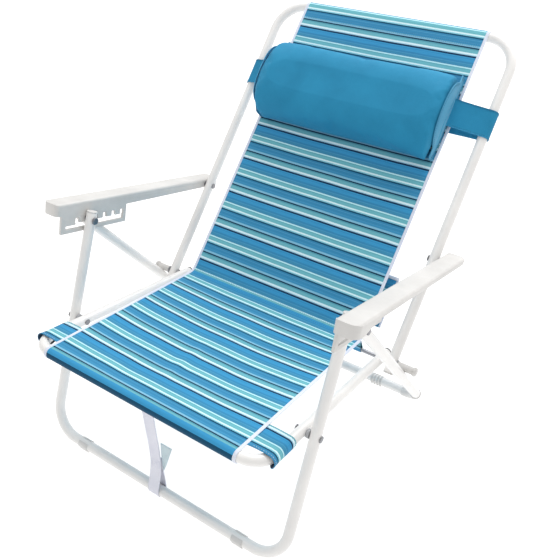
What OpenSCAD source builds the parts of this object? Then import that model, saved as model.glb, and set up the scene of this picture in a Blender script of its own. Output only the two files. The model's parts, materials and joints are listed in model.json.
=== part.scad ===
// Folding beach chair: tube frame, striped sling, ratchet armrests, head pillow.
// Units mm. X runs across the chair, +Y to the back, +Z up, floor at z = 0.

/* [Tubes] */
// outside diameter of every frame tube
tube_d = 20; // [19:0.5:20]
// wall thickness of the tubes
tube_wall = 1.2; // [1:0.1:2]
// half width of the back frame at the tube axis
back_half = 281.6; // [281.4:0.1:281.6]
// half width of the seat frame at the tube axis
seat_half = 257; // [255:0.5:257]
// half width of the front leg frame at the tube axis
front_half = 283; // [282.5:0.5:283]
// half width of the rear leg frame at the tube axis
rear_half = 309.5; // [309.5:0.1:310.5]

/* [Side view] */
// forward reach of the front floor bar from the middle of the base
foot_reach = 250; // [240:1:252]
// backward reach of the rear floor bar from the middle of the base
rear_reach = 248.5; // [248:0.5:249]
// height of the two floor bars above the floor
foot_z = 11.5; // [11.5:0.1:13]
// depth position of the cross rod that hinges the back
rod_y = 141; // [140:0.5:142]
// height of the cross rod
rod_z = 180; // [179:0.5:181]
// depth position of the rivet that joins seat and front legs
rivet_y = -148; // [-149:0.5:-147]
// height of that rivet
rivet_z = 237; // [236:0.5:238]
// length of the seat rails from cross rod to front bar
seat_len = 413; // [410:1:416]
// length of the back tubes from cross rod to top bar
back_len = 685; // [660:5:700]
// recline of the back from the floor, in degrees
back_ang = 47; // [46:0.5:48]
// length of the front legs from floor bar to the rack pin
leg_len = 447.5; // [446.5:0.5:448.5]

/* [Sling] */
// half width of the sling cloth
sling_half = 216; // [200:1:216]
// thickness of the cloth
cloth = 1.5; // [1:0.1:2]

/* [Armrests] */
// width of each armrest
arm_w = 40; // [36:1:44]
// slope of the armrests down to the back, in degrees
arm_tilt = 16.5; // [16.3:0.1:16.8]
// distance from the cross rod to the armrest rivet, along the back tube
arm_pivot = 218; // [216:1:220]
// distance between two rack notches
notch_pitch = 23.4; // [22:0.2:24]

/* [Pillow] */
// half width of the head pillow
pillow_half = 207; // [180:1:207]
// height of the pillow above the sling
pillow_rise = 72; // [50:1:80]
// length of the pillow along the back
pillow_len = 184; // [150:1:190]
// middle of the pillow, measured up the sling from the seat crease
pillow_at = 473; // [460:1:490]

/* [Hidden] */
$fn = 48;
mid_y = 171.5;
tube_r = tube_d / 2;
bore_r = tube_r - tube_wall;
gap = 0.3;
back_over = 20;
seat_over = 25;
seat_front_y = rod_y - seat_len * cos(seat_ang());
seat_front_z = rod_z + seat_len * sin(seat_ang());
back_corner = 65;
seat_corner = 42;
wing_back = 331;
front_corner = 60;
rear_corner = 45;
rivet_s = norm([rod_y - rivet_y, rivet_z - rod_z]);
front_ang = atan2(rivet_z - foot_z, rivet_y + foot_reach);
pin_y = -foot_reach + leg_len * cos(front_ang);
pin_z = foot_z + leg_len * sin(front_ang);
pin_to_rivet = leg_len - norm([rivet_z - foot_z, rivet_y + foot_reach]);
rear_len = norm([rear_reach - pin_y, pin_z - foot_z]);
rear_ang = atan2(foot_z - pin_z, rear_reach - pin_y);
leg_top = 14;
rear_top = 12;
arm_y = rod_y + arm_pivot * cos(back_ang);
arm_z = rod_z + arm_pivot * sin(back_ang);
pin_a = (arm_y - pin_y) * cos(arm_tilt) + (pin_z - arm_z) * sin(arm_tilt);
pin_b = (pin_z - arm_z) * cos(arm_tilt) - (arm_y - pin_y) * sin(arm_tilt);
pin_r = 4;
crease_s = 18;
crease_o = 26.6;
top_o = tube_r + gap + cloth / 2;
soft_split = 150;
arm_x0 = 294;
arm_x1 = arm_x0 + arm_w;
arm_wall = 3;
arm_top = 11.5;
arm_front = pin_a + 75;
arm_back = -40;
rod_r = 4;
sleeve_r = 7.3;
sling_lean = atan2(crease_o - top_o, back_len - crease_s);
seat_crease_s = crease_s * cos(back_ang + seat_ang()) - crease_o * sin(back_ang + seat_ang());

function seat_ang() = asin((rivet_z - rod_z) / norm([rod_y - rivet_y, rivet_z - rod_z]));

// ---- shared shapes ----

module place() {
  translate([0, -mid_y, 0]) children();
}

// back frame of reference: +Y climbs the back tube, +Z faces the sitter
module on_back() {
  place() translate([0, rod_y, rod_z]) rotate([back_ang, 0, 0]) children();
}

// seat frame of reference: -Y runs forward along the rail, +Z faces up
module on_seat() {
  place() translate([0, rod_y, rod_z]) rotate([-seat_ang(), 0, 0]) children();
}

// front leg frame of reference: origin at the rack pin, +Y runs down the leg
module on_front_leg() {
  place() translate([0, pin_y, pin_z]) rotate([front_ang + 180, 0, 0]) children();
}

// rear leg frame of reference: origin at the rack pin, +Y runs down the leg
module on_rear_leg() {
  place() translate([0, pin_y, pin_z]) rotate([rear_ang, 0, 0]) children();
}

// armrest frame of reference: origin at its rivet, -Y runs forward, +Z up
module on_arm() {
  place() translate([0, arm_y, arm_z]) rotate([-arm_tilt, 0, 0]) children();
}

module both() {
  children();
  mirror([1, 0, 0]) children();
}

// rod along X between x0 and x1
module x_rod(x0, x1, r) {
  translate([x0, 0, 0]) rotate([0, 90, 0]) cylinder(h = x1 - x0, r = r);
}

// ring along X between x0 and x1
module x_ring(x0, x1, r_out, r_in) {
  difference() {
    x_rod(x0, x1, r_out);
    x_rod(x0 - 1, x1 + 1, r_in);
  }
}

// flat outline in the Y-Z plane pushed out along X
module side(x0, x1) {
  translate([x0, 0, 0]) rotate([90, 0, 90]) linear_extrude(x1 - x0) children();
}

// solid U shape: open ends at y0, cross bar at len
module u_core(half, y0, len, bend, r) {
  both() translate([half, y0, 0]) rotate([-90, 0, 0]) cylinder(h = len - bend - y0, r = r);
  both() translate([half - bend, len - bend, 0]) rotate_extrude(angle = 90)
    translate([bend, 0]) circle(r);
  translate([0, len, 0]) x_rod(bend - half, half - bend, r);
}

module u_tube(half, y0, len, bend) {
  difference() {
    u_core(half, y0, len, bend, tube_r);
    u_core(half, y0 - 1, len, bend, bore_r);
  }
}

// bores straight through both side tubes at distance s
module side_bore(s, r) {
  both() translate([0, s, 0]) x_rod(200, 340, r);
}

// end plug: a rim outside the tube and a stem inside it
module tube_plug(rim, stem = 9) {
  rotate([90, 0, 0]) cylinder(h = rim, r = tube_r);
  rotate([-90, 0, 0]) cylinder(h = stem, r = bore_r);
}

// round headed pin along X: shaft and one head
module headed_pin(x0, x1, r, head_r, head_x0, head_x1) {
  x_rod(x0, x1, r);
  x_rod(head_x0, head_x1, head_r);
}

function arc_pts(cx, cy, r, a0, a1, n) =
  [for (i = [0:n]) [cx + r * cos(a0 + (a1 - a0) * i / n), cy + r * sin(a0 + (a1 - a0) * i / n)]];

// ---- seat ----

module seat_frame() {
  color("whitesmoke") on_seat() mirror([0, 1, 0]) difference() {
    u_tube(seat_half, -seat_over, seat_len, seat_corner);
    side_bore(0, rod_r + 0.05);
    side_bore(rivet_s, 3.05);
  }
}

module seat_tube_plugs() {
  color("dimgray") on_seat() both() translate([seat_half, seat_over, 0])
    mirror([0, 1, 0]) tube_plug(3);
}

module cross_rod() {
  color("silver") place() translate([0, rod_y, rod_z]) x_rod(-331, 331, rod_r);
}

module stop_sleeves() {
  color("white") place() translate([0, rod_y, rod_z]) both()
    x_ring(293.8, 327, sleeve_r, rod_r + 0.05);
}

module rod_end_caps() {
  color("white") place() translate([0, rod_y, rod_z]) both() difference() {
    union() {
      x_rod(327.3, 331.5, 9);
      translate([331.5, 0, 0]) rotate([0, 90, 0]) cylinder(h = 2, r1 = 9, r2 = 7.4);
      translate([333.5, 0, 0]) rotate([0, 90, 0]) cylinder(h = 1, r1 = 7.4, r2 = 4);
    }
    x_rod(320, 331.05, rod_r + 0.05);
  }
}

module rod_washers() {
  color("dimgray") place() translate([0, rod_y, rod_z]) both() {
    x_ring(267.3, 271.3, 8, rod_r + 0.05);
    x_ring(291.9, 293.5, 9, rod_r + 0.05);
  }
}

module seat_leg_rivets() {
  color("dimgray") on_seat() translate([0, -rivet_s, 0]) both()
    union() {
      x_rod(245, 295, 3);
      x_rod(245, 246.9, 6);
      x_rod(293.1, 295, 6);
    }
}

module seat_leg_spacers() {
  color("dimgray") on_seat() translate([0, -rivet_s, 0]) both()
    x_ring(267.1, 272.8, 8, 3.05);
}

module seat_sling() {
  // straight run of cloth, then a wrap round the front bar
  r0 = tube_r + gap;
  color("dodgerblue") on_seat() side(-sling_half, sling_half) polygon(concat(
    [[seat_crease_s - 3, crease_o - cloth / 2], [seat_crease_s - 3, crease_o + cloth / 2]],
    arc_pts(-seat_len, 0, r0 + cloth, 90, 285, 40),
    arc_pts(-seat_len, 0, r0, 285, 90, 40)
  ));
}

// section of the wing, with x measured from x0
module wing_2d(x0) {
  r0 = tube_r + gap;
  polygon(concat(
    [[sling_half + 1 - x0, r0], [sling_half + 1 - x0, r0 + cloth]],
    arc_pts(seat_half - x0, 0, r0 + cloth, 90, -95, 36),
    arc_pts(seat_half - x0, 0, r0, -95, 90, 36)
  ));
}

module wing() {
  // cloth flap from the sling edge over and round the side rail, into the rail's bend
  bend_x = seat_half - seat_corner;
  bend_y = seat_len - seat_corner;
  on_seat() translate([0, -wing_back, 0]) rotate([90, 0, 0])
    linear_extrude(bend_y - wing_back) wing_2d(0);
  on_seat() translate([bend_x, -bend_y, 0]) mirror([0, 1, 0])
    rotate_extrude(angle = 33) wing_2d(bend_x);
}

module left_wing() {
  color("dodgerblue") mirror([1, 0, 0]) wing();
}

module right_wing() {
  color("dodgerblue") wing();
}

module rod_loop() {
  // hem sewn round the cross rod, with a web up to the fold of the sling
  color("dodgerblue") place() translate([0, rod_y, rod_z]) side(-sling_half, sling_half)
    difference() {
      union() {
        circle(rod_r + gap + cloth);
        rotate(back_ang + atan2(crease_o, crease_s)) translate([0, -cloth / 2])
          square([norm([crease_s, crease_o]) - 2, cloth]);
      }
      circle(rod_r + gap);
    }
}

// ---- back ----

module back_frame() {
  color("whitesmoke") on_back() difference() {
    u_tube(back_half, -back_over, back_len, back_corner);
    side_bore(0, rod_r + 0.05);
    side_bore(arm_pivot, 3.05);
  }
}

module back_tube_caps() {
  color("gainsboro") on_back() both() translate([back_half, -back_over, 0]) tube_plug(3);
}

// height of the cloth's middle over the back tube axis at distance s
function sling_o(s) = crease_o + (top_o - crease_o) * (s - crease_s) / (back_len - crease_s);

module back_sling() {
  r0 = tube_r + gap;
  o0 = sling_o(soft_split);
  color("dodgerblue") on_back() side(-sling_half, sling_half) polygon(concat(
    [[soft_split, o0 + cloth / 2], [soft_split, o0 - cloth / 2]],
    arc_pts(back_len, 0, r0, 90, -105, 40),
    arc_pts(back_len, 0, r0 + cloth, -105, 90, 40)
  ));
}

module back_sling_lower() {
  s0 = crease_s + 2;
  s1 = soft_split - gap;
  color("dodgerblue") on_back() side(-sling_half, sling_half) polygon([
    [s0, sling_o(s0) - cloth / 2], [s1, sling_o(s1) - cloth / 2],
    [s1, sling_o(s1) + cloth / 2], [s0, sling_o(s0) + cloth / 2]
  ]);
}

module rear_pouch() {
  // flat storage bag with a flange that hangs it from the sling
  color("steelblue") on_back() union() {
    side(-225, 225) union() {
      translate([58, -27]) square([96, 14]);
      translate([58, -20]) circle(7);
      translate([154, -20]) circle(7);
    }
    side(-200, 200) polygon([[155, -16], [158, -16], [177.5, 22], [174.5, 22]]);
  }
}

// ---- pillow ----

// sling frame of reference: +Y runs up the cloth, +Z is off its front face
module on_sling() {
  on_back() translate([0, crease_s, crease_o]) rotate([-sling_lean, 0, 0]) children();
}

module head_pillow() {
  chord = pillow_len;
  r = (chord * chord / 4 + pillow_rise * pillow_rise) / (2 * pillow_rise);
  color("steelblue") on_sling() translate([0, pillow_at, cloth / 2 + gap])
    side(-pillow_half, pillow_half) intersection() {
      translate([0, pillow_rise - r]) circle(r, $fn = 96);
      translate([-chord, 0]) square([2 * chord, pillow_rise + 1]);
    }
}

module pillow_straps() {
  // elastic band: out of each pillow end, round the back tube and across behind
  r0 = tube_r + 1;
  r1 = r0 + cloth;
  band = 58;
  xe = pillow_half + 0.3;
  color("steelblue") on_back() translate([0, 505 + band / 2, 0]) rotate([90, 0, 0])
    linear_extrude(band) polygon(concat(
      [[xe, 28 + cloth]],
      arc_pts(back_half, 0, r1, 90, -90, 24),
      arc_pts(-back_half, 0, r1, 270, 90, 24),
      [[-xe, 28 + cloth], [-xe, 28]],
      arc_pts(-back_half, 0, r0, 90, 270, 24),
      arc_pts(back_half, 0, r0, -90, 90, 24),
      [[xe, 28]]
    ));
}

// ---- front legs ----

module front_leg_frame() {
  color("whitesmoke") on_front_leg() difference() {
    u_tube(front_half, -leg_top, leg_len, front_corner);
    side_bore(0, pin_r + 0.05);
    side_bore(pin_to_rivet, 3.05);
  }
}

module front_leg_plugs() {
  color("gainsboro") on_front_leg() both() translate([front_half, -leg_top, 0]) tube_plug(3);
}

module front_foot_clips() {
  // moulded feet snapped over the front floor bar
  r0 = tube_r + 0.1;
  color("white") place() translate([0, -foot_reach, foot_z]) both()
    side(182, 206) difference() {
      union() {
        circle(r0 + 1.2);
        translate([-8, -foot_z]) square([16, foot_z]);
      }
      circle(r0);
      translate([-5, 6]) square([10, 10]);
    }
}

module front_leg_pins() {
  color("dimgray") on_front_leg() both() union() {
    x_rod(269, 293.1, pin_r);
    x_rod(269, 272.8, 7);
  }
}

module carry_strap() {
  // flat webbing looped round the front floor bar, hanging free at its top
  r0 = tube_r + gap;
  color("lavender") place() translate([0, -foot_reach, foot_z]) side(-12.5, 12.5) union() {
    difference() {
      circle(r0 + cloth);
      circle(r0);
    }
    translate([-r0 - cloth, 0]) square([cloth, 14]);
    polygon([
      [-r0 - cloth, 13.9], [-r0, 13.9], [9, 52], [9 + 1, 225], [9 - 2, 225], [7, 52]
    ]);
    polygon([[r0, 0], [r0 + cloth, 0], [9, 52], [7, 52]]);
  }
}

module closure_tab() {
  // stiff tapered hook tab behind the strap, its point sewn to the webbing
  color("cadetblue") place() translate([8, -foot_reach + 12, foot_z + 46]) rotate([90, 0, 0])
    linear_extrude(1.6) polygon([[0, 0], [4, 0], [14, 24], [34, 80], [7, 80], [3, 24]]);
}

// ---- rear legs ----

module rear_leg_frame() {
  color("whitesmoke") on_rear_leg() difference() {
    u_tube(rear_half, -rear_top, rear_len, rear_corner);
    side_bore(0, pin_r + 0.05);
  }
}

module rear_leg_plugs() {
  color("gainsboro") on_rear_leg() both() translate([rear_half, -rear_top, 0]) tube_plug(2, 7);
}

module rear_foot_caps() {
  // moulded elbows over the bends of the rear floor bar
  r0 = tube_r + 0.1;
  r1 = tube_r + 1.5;
  color("white") difference() {
    on_rear_leg() both() {
      translate([rear_half - rear_corner, rear_len - rear_corner, 0])
        rotate_extrude(angle = 70, start = 10) difference() {
          translate([rear_corner, 0]) circle(r1);
          translate([rear_corner, 0]) circle(r0);
        }
    }
    translate([-400, -400, -20]) cube([800, 800, 20]);
  }
}

module rear_bar_sleeves() {
  // ribbed grip rings on the rear floor bar, flat underneath
  r0 = tube_r + 0.1;
  color("white") place() translate([0, rear_reach, foot_z]) both() for (i = [0:3])
    side(196 + 7 * i, 200 + 7 * i) difference() {
      union() {
        circle(r0 + 1.3);
        translate([-7, -foot_z]) square([14, foot_z]);
      }
      circle(r0);
    }
}

module rear_leg_pins() {
  color("dimgray") on_rear_leg() both() union() {
    x_rod(299.4, 323, pin_r);
    x_rod(319.7, 323, 5.6);
  }
}

// ---- armrests ----

module arm_rivet() {
  color("dimgray") on_arm() union() {
    x_rod(269.6, 299, 3);
    x_rod(269.6, 271.5, 6);
    x_rod(297.1, 299, 6);
    x_rod(291.7, 293.9, 6);
  }
}

module left_arm_rivet() {
  mirror([1, 0, 0]) arm_rivet();
}

module right_arm_rivet() {
  arm_rivet();
}

module notch_pin() {
  color("dimgray") on_arm() translate([0, -pin_a, pin_b]) x_rod(293.3, 299.2, pin_r);
}

module left_notch_pin() {
  mirror([1, 0, 0]) notch_pin();
}

module right_notch_pin() {
  notch_pin();
}

module rounded_2d(x0, y0, x1, y1, r) {
  translate([x0 + r, y0]) square([x1 - x0 - 2 * r, y1 - y0]);
  translate([x0, y0 + r]) square([x1 - x0, y1 - y0 - 2 * r]);
  for (x = [x0 + r, x1 - r])
    for (y = [y0 + r, y1 - r])
      translate([x, y]) circle(r);
}

// rack below the inner skirt, drawn in the Y-Z plane: teeth hang over a slot
module rack_2d() {
  roof = pin_b + pin_r + gap;
  tip = roof - 10.3;
  slot_floor = tip - 10;
  gap_w = pin_r + 0.4;
  difference() {
    translate([-pin_a - 62, slot_floor - 8]) square([167.6, 8 - slot_floor + 2]);
    // slot that the pin runs along when the armrest is lifted
    translate([-pin_a - 27, slot_floor]) square([124.6, tip - slot_floor]);
    translate([-pin_a - 51.3, slot_floor]) square([25, tip - slot_floor - 3]);
    // notches that lock the pin
    for (i = [-1:4])
      translate([-pin_a + i * notch_pitch, 0]) polygon([
        [-gap_w - 0.4, tip - 0.1], [gap_w + 1.4, tip - 0.1], [gap_w, roof], [-gap_w, roof]
      ]);
  }
}

// quarter ring of skirt round a rounded corner, swept from angle a over 90 degrees
module corner_skirt(x, y, r, a, z) {
  translate([x, y, z]) linear_extrude(arm_top - 1.5 - z) rotate(a) intersection() {
    difference() {
      circle(r);
      circle(r - arm_wall);
    }
    square(r + 1);
  }
}

module armrest() {
  y0 = -arm_front;
  y1 = -arm_back;
  color("white") on_arm() difference() {
    union() {
      intersection() {
        // channel section
        translate([0, y1, 0]) rotate([90, 0, 0]) linear_extrude(y1 - y0) difference() {
          rounded_2d(arm_x0, -17, arm_x1, arm_top, 5);
          translate([arm_x0 + arm_wall, -30])
            square([arm_w - 2 * arm_wall, 30 + arm_top - arm_wall]);
          translate([arm_x1 - 5, -40]) square([10, 41.5]);
        }
        // plan outline with rounded ends
        translate([0, 0, -40]) linear_extrude(80) union() {
          translate([arm_x0, y0 + 16]) square([arm_w, y1 - y0 - 34]);
          translate([arm_x0, y0 + 8]) square([arm_w - 16, 22]);
          translate([arm_x0 + 8, y0]) square([arm_w - 24, 30]);
          translate([arm_x0 + 8, y0 + 8]) circle(8);
          translate([arm_x1 - 16, y0 + 16]) circle(16);
          translate([arm_x0, y1 - 30]) square([arm_w - 18, 30]);
          translate([arm_x1 - 18, y1 - 18]) circle(18);
        }
      }
      // end walls inside the channel
      translate([arm_x0 + 8, y0, -arm_top]) cube([arm_w - 24, arm_wall, 2 * arm_top - 1.5]);
      translate([arm_x0 + 1, y1 - arm_wall, 1.5]) cube([arm_w - 19, arm_wall, arm_top - 3]);
      corner_skirt(arm_x0 + 8, y0 + 8, 8, 180, -arm_top);
      corner_skirt(arm_x1 - 16, y0 + 16, 16, 270, -arm_top);
      corner_skirt(arm_x1 - 18, y1 - 18, 18, 0, 1.5);
      // outer skirt, deep at the front and tapering up behind
      side(arm_x1 - arm_wall, arm_x1) polygon([
        [y0 + 16, -arm_top], [y0 + 32, -arm_top], [y0 + 68, 1.5], [y0 + 68, 3], [y0 + 16, 3]
      ]);
      // stiffening ribs across the hollow, clear of the leg
      for (y = [-70, -150, -230])
        translate([arm_x0 + 1, y, 3.5]) cube([arm_w - 2, 2, arm_top - 5]);
      side(arm_x0, arm_x0 + 5) rack_2d();
    }
    // sloped lower edge of the inner skirt
    side(arm_x0 - 1, arm_x0 + arm_wall + 0.1) polygon([
      [y0 - 1, -arm_top], [-pin_a - 62, -arm_top], [-pin_a - 62, -60], [y0 - 1, -60]
    ]);
    side(arm_x0 - 1, arm_x0 + arm_wall + 0.1) polygon([
      [-pin_a + 105.6, -11.5], [y1 + 1, -7], [y1 + 1, -60], [-pin_a + 105.6, -60]
    ]);
    x_rod(arm_x0 - 5, arm_x0 + 10, 3.05);
  }
}

module left_armrest() {
  mirror([1, 0, 0]) armrest();
}

module right_armrest() {
  armrest();
}

seat_frame();
seat_tube_plugs();
cross_rod();
stop_sleeves();
rod_end_caps();
rod_washers();
seat_leg_rivets();
seat_leg_spacers();
seat_sling();
left_wing();
right_wing();
rod_loop();
back_frame();
back_tube_caps();
back_sling();
back_sling_lower();
rear_pouch();
head_pillow();
pillow_straps();
front_leg_frame();
front_leg_plugs();
front_foot_clips();
front_leg_pins();
carry_strap();
closure_tab();
rear_leg_frame();
rear_leg_plugs();
rear_foot_caps();
rear_bar_sleeves();
rear_leg_pins();
left_arm_rivet();
right_arm_rivet();
left_notch_pin();
right_notch_pin();
left_armrest();
right_armrest();
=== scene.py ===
import json
import math
from collections import namedtuple

import bpy
import bmesh
import numpy as np
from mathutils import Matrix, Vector
from mathutils.bvhtree import BVHTree


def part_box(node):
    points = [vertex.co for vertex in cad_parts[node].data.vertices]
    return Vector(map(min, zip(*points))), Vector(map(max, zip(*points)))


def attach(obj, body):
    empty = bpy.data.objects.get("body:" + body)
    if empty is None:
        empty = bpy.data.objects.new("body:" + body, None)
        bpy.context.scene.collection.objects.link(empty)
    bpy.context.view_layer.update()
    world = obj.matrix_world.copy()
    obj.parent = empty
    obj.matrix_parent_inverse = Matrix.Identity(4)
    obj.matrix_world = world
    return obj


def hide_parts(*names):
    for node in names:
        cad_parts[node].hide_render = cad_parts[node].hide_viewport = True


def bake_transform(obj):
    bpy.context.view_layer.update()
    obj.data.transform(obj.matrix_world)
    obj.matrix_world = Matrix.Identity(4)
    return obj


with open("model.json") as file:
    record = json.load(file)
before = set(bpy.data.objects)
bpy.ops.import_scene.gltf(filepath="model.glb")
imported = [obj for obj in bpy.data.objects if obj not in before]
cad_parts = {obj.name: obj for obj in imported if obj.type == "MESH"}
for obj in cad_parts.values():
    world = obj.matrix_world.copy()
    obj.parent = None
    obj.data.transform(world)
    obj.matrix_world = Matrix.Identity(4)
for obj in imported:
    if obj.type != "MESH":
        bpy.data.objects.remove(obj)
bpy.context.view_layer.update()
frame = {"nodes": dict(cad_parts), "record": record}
MM = 0.001

# ---- the frame's own points and planes


def centre(node):
    """Middle of a CAD node's box as (y, z) in millimetres."""
    lo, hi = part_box(node)
    return (lo.y + hi.y) / 2 / MM, (lo.z + hi.z) / 2 / MM


TUBE_R = 10.0
ROD = centre("cross_rod")
RIVET = centre("seat_leg_rivets")
PIN = centre("left_notch_pin")
FLOOR_BAR_Z = 11.5
FRONT_BAR_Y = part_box("front_leg_frame")[0].y / MM + TUBE_R
REAR_BAR_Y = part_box("rear_leg_frame")[1].y / MM - TUBE_R
SEAT_LEN, BACK_LEN = 413.0, 685.0
BACK_ANG = math.radians(47)
SEAT_ANG = math.atan2(RIVET[1] - ROD[1], ROD[0] - RIVET[0])
FRONT_ANG = math.atan2(RIVET[1] - FLOOR_BAR_Z, RIVET[0] - FRONT_BAR_Y)
FRONT_LEN = math.hypot(PIN[0] - FRONT_BAR_Y, PIN[1] - FLOOR_BAR_Z)
REAR_ANG = math.atan2(FLOOR_BAR_Z - PIN[1], REAR_BAR_Y - PIN[0])
REAR_LEN = math.hypot(REAR_BAR_Y - PIN[0], PIN[1] - FLOOR_BAR_Z)
# half widths of the four tube frames at the tube axis, and of the cloth
SEAT_HALF, BACK_HALF, FRONT_HALF, REAR_HALF = 257.0, 281.6, 283.0, 309.5
SLING_HALF = 216.0
# the crease between seat and back: up the back tubes from the cross rod, and off their plane
CREASE_S, CREASE_O = 18.0, 26.6



def plane(origin, angle, flip=1):
    """Maps (x, along, off) to row millimetres for a part lying at an angle in the side view."""
    c, s = math.cos(angle), math.sin(angle)

    def at(x, along, off=0.0):
        return (
            x,
            origin[0] + along * c - flip * off * s,
            origin[1] + along * s + flip * off * c,
        )

    return at


on_back = plane(ROD, BACK_ANG)
on_seat = plane(ROD, math.pi - SEAT_ANG, -1)
on_front_leg = plane(PIN, math.pi + FRONT_ANG)
on_rear_leg = plane(PIN, REAR_ANG)


def metres(p):
    return Vector(p) * MM


# ---- materials


class Shade:
    """A principled material with a few helpers for its nodes."""

    def __init__(self, name, rough, metallic=0.0, sheen=0.0, coat=0.0, spec=0.5):
        self.mat = bpy.data.materials.new(name)
        self.mat.use_nodes = True
        self.tree = self.mat.node_tree
        self.bsdf = self.tree.nodes["Principled BSDF"]
        values = {
            "Metallic": metallic, "Roughness": rough, "Sheen Weight": sheen, "Sheen Roughness": 0.5,
            "Coat Weight": coat, "Specular IOR Level": spec,
        }
        for key, value in values.items():
            self.bsdf.inputs[key].default_value = value

    def node(self, kind, **values):
        made = self.tree.nodes.new(kind)
        for key, value in values.items():
            setattr(made, key, value)
        return made

    def link(self, a, b):
        self.tree.links.new(a, b)

    def math(self, operation, a, b=None, c=None):
        made = self.node("ShaderNodeMath", operation=operation)
        for socket, value in zip(made.inputs, (a, b, c)):
            if value is None:
                continue
            if isinstance(value, (int, float)):
                socket.default_value = value
            else:
                self.link(value, socket)
        return made.outputs[0]

    def coords(self, scale=(1, 1, 1)):
        made = self.node("ShaderNodeMapping")
        made.inputs["Scale"].default_value = scale
        self.link(self.node("ShaderNodeTexCoord").outputs["Object"], made.inputs["Vector"])
        return made.outputs[0]

    def noise(self, vector, scale, detail=3.0, rough=0.55):
        made = self.node("ShaderNodeTexNoise")
        made.inputs["Scale"].default_value = scale
        made.inputs["Detail"].default_value = detail
        made.inputs["Roughness"].default_value = rough
        self.link(vector, made.inputs["Vector"])
        return made.outputs["Fac"]

    def ramp(self, factor, stops, interpolation="LINEAR"):
        made = self.node("ShaderNodeValToRGB")
        ramp = made.color_ramp
        ramp.interpolation = interpolation
        for i, (at, colour) in enumerate(stops):
            stop = ramp.elements[i] if i < 2 else ramp.elements.new(at)
            stop.position, stop.color = at, (*colour, 1)
        self.link(factor, made.inputs["Fac"])
        return made.outputs["Color"]

    def multiply(self, a, b):
        """Product of two colours."""
        made = self.node("ShaderNodeMix", data_type="RGBA", blend_type="MULTIPLY")
        made.inputs[0].default_value = 1.0
        self.link(a, made.inputs[6])
        self.link(b, made.inputs[7])
        return made.outputs[2]

    def span(self, value, low, high):
        """Stretches a 0 to 1 value to low..high."""
        return self.math("MULTIPLY_ADD", value, high - low, low)

    def colour(self, socket):
        self.link(socket, self.bsdf.inputs["Base Color"])

    def rough(self, socket):
        self.link(socket, self.bsdf.inputs["Roughness"])

    def bump(self, height, strength, distance):
        made = self.node("ShaderNodeBump")
        made.inputs["Strength"].default_value = strength
        made.inputs["Distance"].default_value = distance
        self.link(height, made.inputs["Height"])
        self.link(made.outputs[0], self.bsdf.inputs["Normal"])


def rgb(r, g, b):
    """Linear colour from 0-255 display values."""
    return tuple((v / 255 / 12.92) if v < 10 else ((v / 255 + 0.055) / 1.055) ** 2.4 for v in (r, g, b))


def painted():
    """Glossy white powder coat of the tubes."""
    s = Shade("powder_coat_white", 0.3, coat=0.35)
    at = s.coords()
    blotch = s.noise(at, 14, 4)
    s.colour(s.ramp(blotch, [(0.3, rgb(232, 230, 228)), (0.7, rgb(242, 240, 237))]))
    s.rough(s.span(s.noise(at, 60, 4), 0.24, 0.42))
    s.bump(s.noise(at, 900, 2), 0.12, 0.0004)
    return s.mat


def moulded(name, dark, light, rough):
    s = Shade(name, rough)
    at = s.coords()
    s.colour(s.ramp(s.noise(at, 22, 4), [(0.3, dark), (0.72, light)]))
    s.rough(s.span(s.noise(at, 90, 3), rough - 0.07, rough + 0.1))
    s.bump(s.noise(at, 1500, 2), 0.18, 0.0003)
    return s.mat


def brushed(name, dark, light, rough, along=(1, 30, 30)):
    s = Shade(name, rough, metallic=1.0)
    at = s.coords(along)
    grain = s.noise(at, 60, 5, 0.7)
    s.colour(s.ramp(grain, [(0.25, dark), (0.8, light)]))
    s.rough(s.span(grain, rough - 0.1, rough + 0.15))
    s.bump(grain, 0.2, 0.0002)
    return s.mat


def weave_height(s, across, along, pitch):
    """Plain weave: warp and weft ridges that take turns, from coordinates in millimetres."""
    k = 2 * math.pi / pitch
    a = s.math("SINE", s.math("MULTIPLY", across, k))
    b = s.math("SINE", s.math("MULTIPLY", along, k))
    return s.math("MULTIPLY_ADD", s.math("MULTIPLY", a, b), 0.5, 0.5)


STRIPE_PERIOD = 83.3
STRIPES = [  # start of each band in one repeat, in millimetres, and its display colour
    (0.0, (4, 44, 80)),
    (3.4, (150, 200, 222)),
    (5.4, (216, 242, 250)),
    (9.2, (108, 180, 194)),
    (16.0, (86, 158, 178)),
    (18.8, (4, 50, 78)),
    (21.8, (130, 190, 218)),
    (26.0, (60, 144, 188)),
    (30.0, (78, 156, 196)),
    (30.9, (56, 138, 182)),
    (36.6, (80, 158, 198)),
    (37.6, (54, 136, 180)),
    (41.2, (6, 74, 106)),
    (44.4, (134, 204, 220)),
    (47.0, (216, 246, 252)),
    (50.2, (112, 186, 198)),
    (56.6, (98, 174, 188)),
    (58.4, (190, 236, 244)),
    (61.2, (62, 142, 180)),
    (68.0, (74, 156, 194)),
    (69.0, (54, 138, 184)),
    (73.0, (58, 152, 202)),
    (79.6, (46, 138, 188)),
    (80.6, (60, 154, 204)),
]


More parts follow.
